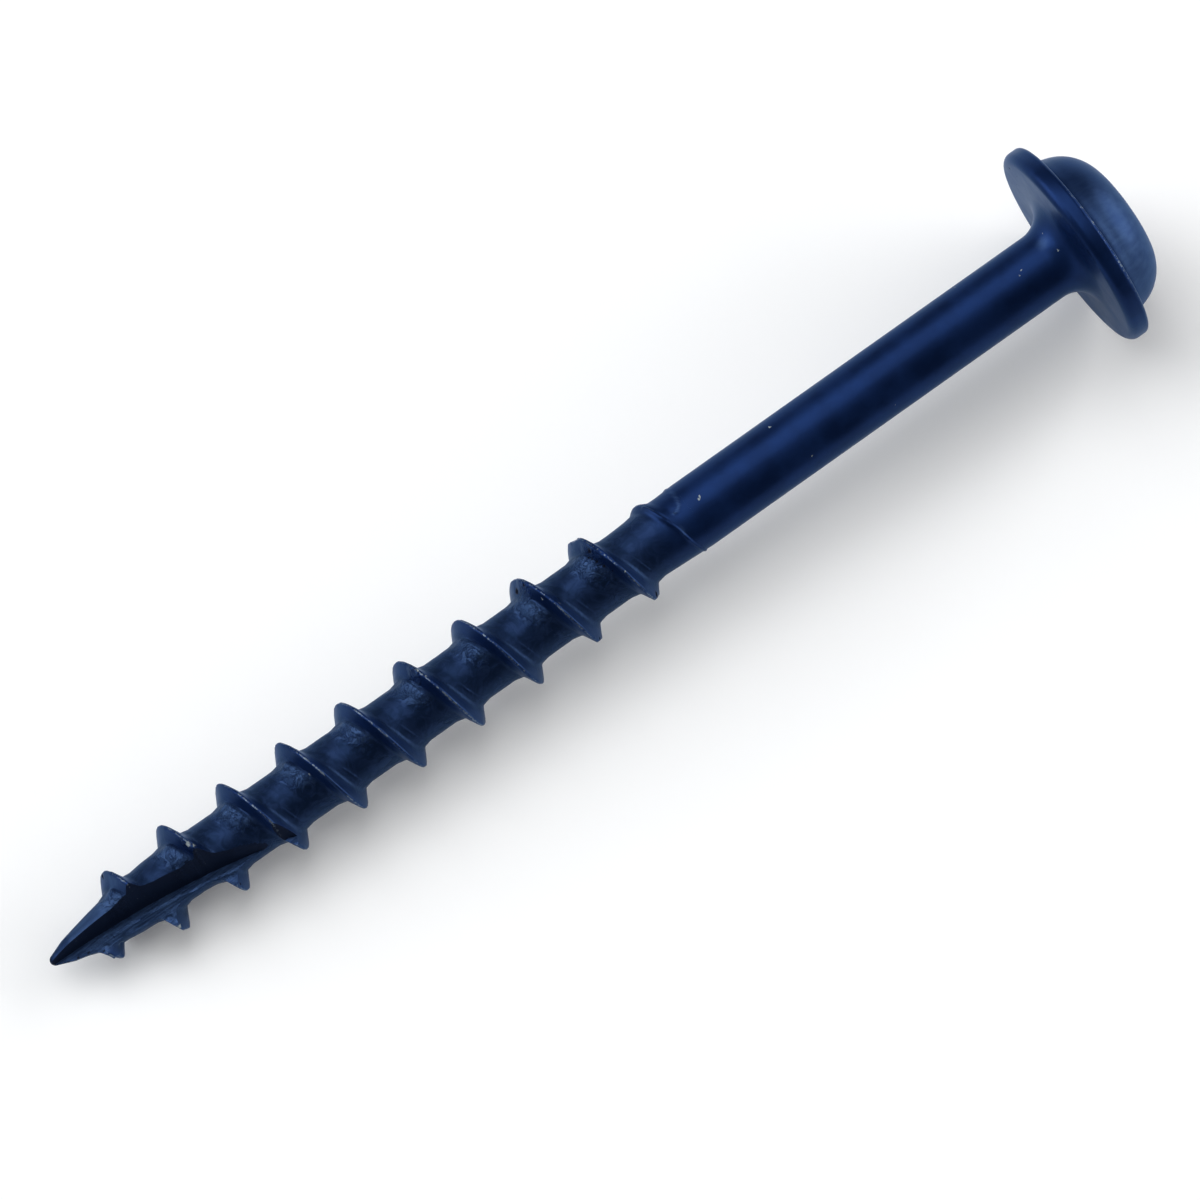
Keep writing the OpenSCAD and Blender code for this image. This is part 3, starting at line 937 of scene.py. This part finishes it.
def threadWear(turn, height, radius):
    # wear, pale marks and painted highlight, valley and lumpiness of a place on the thread
    sizes = wearSizes
    crestHeight, offset = toothPlace(turn, height)
    grown = growth(crestHeight)
    core = coreRadius(height)
    rise = radius - core
    crestRadius = core + toothHeight * grown
    wear = ease((grown - sizes["leastTooth"]) / sizes["toothFade"])
    wear *= ease(sizes["lineEdge"] - abs(offset - sizes["lineMiddle"]) / sizes["lineWidth"])
    wear *= ease(sizes["depthEdge"] - (crestRadius - radius) / sizes["lineDepth"])
    valley = ease((screwSizes["shankStart"] - height) / sizes["coreFade"])
    valley *= ease(1 - (rise - sizes["coreRise"]) / sizes["coreEdge"])
    # lumps between the teeth, which also carry a painted highlight on the side facing the lamps
    lumpsAndHighlight = grown * ease((rise - sizes["lumpsLow"]) / sizes["lumpsLowEdge"])
    lumpsAndHighlight *= ease(1 - (rise - sizes["lumpsHigh"]) / sizes["lumpsHighEdge"])
    tipSide = ease((sizes["lumpsEnd"] - offset) / sizes["lumpsEdge"])
    tipSide *= ease((offset - sizes["lumpsStart"]) / sizes["lumpsSlope"])
    tipSide *= 1 - sizes["smootherAside"] * (1 - inSector(turn, sectors["lumpAndHighlightHeap"]))
    lumpsAndHighlight *= sizes["lumpsElsewhere"] + sizes["lumpsTipSide"] * tipSide
    for mark in roughPlaces:
        lumpsAndHighlight = max(lumpsAndHighlight, ease(sizes["tornGain"] * nearMark(height, turn, crestRadius, mark)))
    # painted highlight: heaps and head-side flanks facing the lamps, and a facet of the point, are paled
    paleAndHighlightShare = sizes["heapHighlight"] * grown * heaped(turn, offset)
    flank = ease((offset - sizes["flankStart"]) / sizes["flankEdge"])
    flank *= 1 - ease((offset - sizes["flankEnd"]) / sizes["flankEdge"])
    paleAndHighlightShare = max(paleAndHighlightShare, sizes["flankHighlight"] * grown * inSector(turn, sectors["highlightFlank"]) * flank)
    facet = ease((height - sizes["facetStart"]) / sizes["facetRise"])
    facet *= 1 - ease((height - sizes["facetEnd"]) / sizes["facetFall"])
    paleAndHighlightShare = max(paleAndHighlightShare, sizes["facetHighlight"] * facet * inSector(turn, sectors["pointFacet"]) * (1 - wear))
    for line in raisedLines:
        near = nearLine(height, turn, line)
        paleAndHighlightShare = max(paleAndHighlightShare, line["paleAndHighlight"] * near)
        wear = max(wear, line["wear"] * near)
    return wear, paleAndHighlightShare, valley, lumpsAndHighlight


def paintWear(screw):
    # how worn each vertex is, its pale marks and painted highlight, whether it lies between teeth and how
    # lumpy it is there, and which faces are the notch's floor and wall
    local = restPose.inverted()
    mesh, sizes = screw.data, wearSizes
    wears, paleAndHighlights, valleys, lumps = [], [], [], []
    washerTop = screwSizes["length"] + headSizes["washerHeight"]
    for vertex in mesh.vertices:
        point = local @ vertex.co
        height = point.z
        point = point - leanAt(max(0.0, height))
        radius = math.hypot(point.x, point.y)
        turn = math.degrees(math.atan2(point.y, point.x)) % 360
        wear = paleAndHighlightShare = valley = lumpsAndHighlight = 0.0
        if height < screwSizes["shankStart"] + screwSizes["overlap"]:
            wear, paleAndHighlightShare, valley, lumpsAndHighlight = threadWear(turn, height, radius)
        elif washerTop - sizes["rimBelow"] < height < washerTop + sizes["rimAbove"]:
            wear = sizes["rimWear"] + sizes["rimMoreWear"] * inSector(turn, sectors["washerEdge"])
            wear *= ease((radius - headSizes["washerRadius"] + sizes["rimInside"]) / sizes["rimEdge"])
        elif height > washerTop:
            # painted highlight on the dome, strongest on the side the lamps light
            paleAndHighlightShare = sizes["domeHighlight"] + sizes["domeMoreHighlight"] * inSector(turn, sectors["highlightDome"])
            paleAndHighlightShare *= ease((height - washerTop - sizes["domeStart"]) / sizes["domeRise"])
        for place in paleAndHighlightPlaces:
            paleAndHighlightShare = max(paleAndHighlightShare, place["share"] * nearMark(height, turn, radius, place))
        wears.append(wear)
        paleAndHighlights.append(paleAndHighlightShare)
        valleys.append(valley)
        lumps.append(lumpsAndHighlight)

    shape = bmesh.new()
    shape.from_mesh(mesh)
    for edge in shape.edges:
        sharpness = math.degrees(edge.calc_face_angle_signed(0))
        if sharpness > sizes["sharpEdge"] or sharpness < sizes["hollowEdge"]:
            for vertex in edge.verts:
                if (local @ vertex.co).z < notchSizes["length"] + sizes["edgesPast"]:
                    wears[vertex.index] = max(wears[vertex.index], sizes["edgeWear"])
    shape.free()

    floors, walls = [], []
    cut = Matrix.Rotation(math.radians(-notchSizes["turn"]), 3, "Z")
    for face in mesh.polygons:
        point = cut @ (local @ face.center)
        facing = (cut @ (local.to_3x3() @ face.normal)).normalized()
        isFloor = isWall = False
        if 0 < point.z < notchSizes["length"] + notchFaces["past"]:
            fromWall = point.x - notchWall(point.z)
            isFloor = facing.y < notchFaces["floorFacing"] and abs(point.y) < notchFaces["floorDepth"]
            isFloor = isFloor and fromWall > -notchFaces["floorGap"]
            isWall = facing.x > notchFaces["wallFacing"] and abs(fromWall) < notchFaces["wallDepth"]
            isWall = isWall and point.y < notchFaces["wallTop"]
        floors.append(float(isFloor))
        walls.append(float(isWall))
    for name, domain, values in (
            ("wear", "POINT", wears), ("paleAndHighlight", "POINT", paleAndHighlights), ("valley", "POINT", valleys),
            ("lumpsAndHighlight", "POINT", lumps), ("notchFloor", "FACE", floors), ("notchWall", "FACE", walls)):
        mesh.attributes.new(name, "FLOAT", domain).data.foreach_set("value", values)


# ---- floor, light and camera
stageLook = {
    "floorHalfWidth": 1.5,
    "floorColour": (0.93, 0.932, 0.935, 1),
    "floorGlow": 0.08,       # lifts the paper to white, and is seen but lights nothing
    "worldColour": (0.75, 0.86, 1.0, 1),
    "worldStrength": 0.06,
}
# Soft lamps by compass direction, height over the floor and width in degrees, and strength, where 1 lights
# a surface that faces it at the level at which a colour renders as written
lamps = {
    "right": {"turn": -2, "height": 18, "width": 50, "strength": 0.60, "colour": (1, 0.99, 0.97)},
    "front": {"turn": -34, "height": 14, "width": 46, "strength": 0.28, "colour": (1, 0.99, 0.97)},
    "left": {"turn": 137, "height": 23, "width": 44, "strength": 0.54, "colour": (0.94, 0.97, 1)},
    "back": {"turn": 104, "height": 66, "width": 52, "strength": 0.39, "colour": (1, 1, 1)},
    "low back": {"turn": 108, "height": 42, "width": 46, "strength": 0.13, "colour": (1, 1, 1)},
    "top": {"turn": 45, "height": 80, "width": 60, "strength": 0.09, "colour": (1, 1, 1)},
}
cameraView = {
    "azimuth": -35.506,      # turn of the picture's right-hand direction about the vertical
    "elevation": 75.332,
    "distance": 350,
    "pixelsPerMillimetre": 24.455,
    "target": (0, 0, 2.5),
    "targetPixel": (593.032, 590.133),
    "imagePixels": 1200,
    "sensor": 36,
}


def compassDirection(turn, height):
    turn, height = math.radians(turn), math.radians(height)
    level = math.cos(height)
    return Vector((level * math.cos(turn), level * math.sin(turn), math.sin(height)))


def makeStage():
    flat = bmesh.new()
    bmesh.ops.create_grid(flat, x_segments=1, y_segments=1, size=stageLook["floorHalfWidth"])
    floor = asObject(flat, "floor")
    paper = bpy.data.materials.new("floor_paper")
    build = Builder(paper)
    build.nodes.clear()
    rays = build.add("ShaderNodeLightPath").outputs
    seen = build.math("MAXIMUM", rays["Is Camera Ray"], rays["Is Glossy Ray"])
    seen = build.math("MAXIMUM", seen, rays["Is Transmission Ray"])
    glow = build.add("ShaderNodeEmission", {"Strength": build.math("MULTIPLY", seen, stageLook["floorGlow"])})
    diffuse = build.add("ShaderNodeBsdfDiffuse", {"Color": stageLook["floorColour"]})
    both = build.add("ShaderNodeAddShader", {0: diffuse.outputs[0], 1: glow.outputs[0]})
    build.add("ShaderNodeOutputMaterial", {"Surface": both.outputs[0]})
    floor.data.materials.append(paper)

    world = bpy.data.worlds.new("studio")
    world.use_nodes = True
    sky = world.node_tree.nodes["Background"].inputs
    sky["Color"].default_value = stageLook["worldColour"]
    sky["Strength"].default_value = stageLook["worldStrength"]
    bpy.context.scene.world = world

    for name, look in lamps.items():
        lamp = bpy.data.lights.new(name, "SUN")
        lamp.angle = math.radians(look["width"])
        lamp.energy = look["strength"] * math.pi
        lamp.color = look["colour"]
        towards = compassDirection(look["turn"], look["height"])
        thing = bpy.data.objects.new(name, lamp)
        thing.rotation_euler = (-towards).to_track_quat("-Z", "Y").to_euler()
        bpy.context.scene.collection.objects.link(thing)


def makeCamera():
    towards = compassDirection(cameraView["azimuth"] - 90, cameraView["elevation"])
    right = compassDirection(cameraView["azimuth"], 0)
    up = towards.cross(right)
    middle = cameraView["imagePixels"] / 2
    shiftRight = (middle - cameraView["targetPixel"][0]) / cameraView["pixelsPerMillimetre"]
    shiftUp = (cameraView["targetPixel"][1] - middle) / cameraView["pixelsPerMillimetre"]
    aim = (Vector(cameraView["target"]) + right * shiftRight + up * shiftUp) * millimetre
    lens = bpy.data.cameras.new("camera")
    frameWidth = cameraView["imagePixels"] / cameraView["pixelsPerMillimetre"]
    lens.sensor_width = cameraView["sensor"]
    lens.lens = cameraView["sensor"] * cameraView["distance"] / frameWidth
    lens.clip_start = 0.01
    camera = bpy.data.objects.new("camera", lens)
    turned = Matrix((right, up, towards)).transposed().to_4x4()
    camera.matrix_world = Matrix.Translation(aim + towards * cameraView["distance"] * millimetre) @ turned
    bpy.context.scene.collection.objects.link(camera)
    bpy.context.scene.camera = camera


makeCamera()
makeStage()
print("camera and stage are ready")
screw = makeScrew()
screw.data.materials.clear()
screw.data.materials.append(makeCoating())
for polygon in screw.data.polygons:
    polygon.use_smooth = True
    polygon.material_index = 0
screw.data.set_sharp_from_angle(angle=math.radians(wearSizes["sharpEdge"]))
paintWear(screw)
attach(screw, "root")
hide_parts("screw")
print("screw has", len(screw.data.vertices), "vertices")

bpy.context.scene.view_settings.view_transform = "Standard"
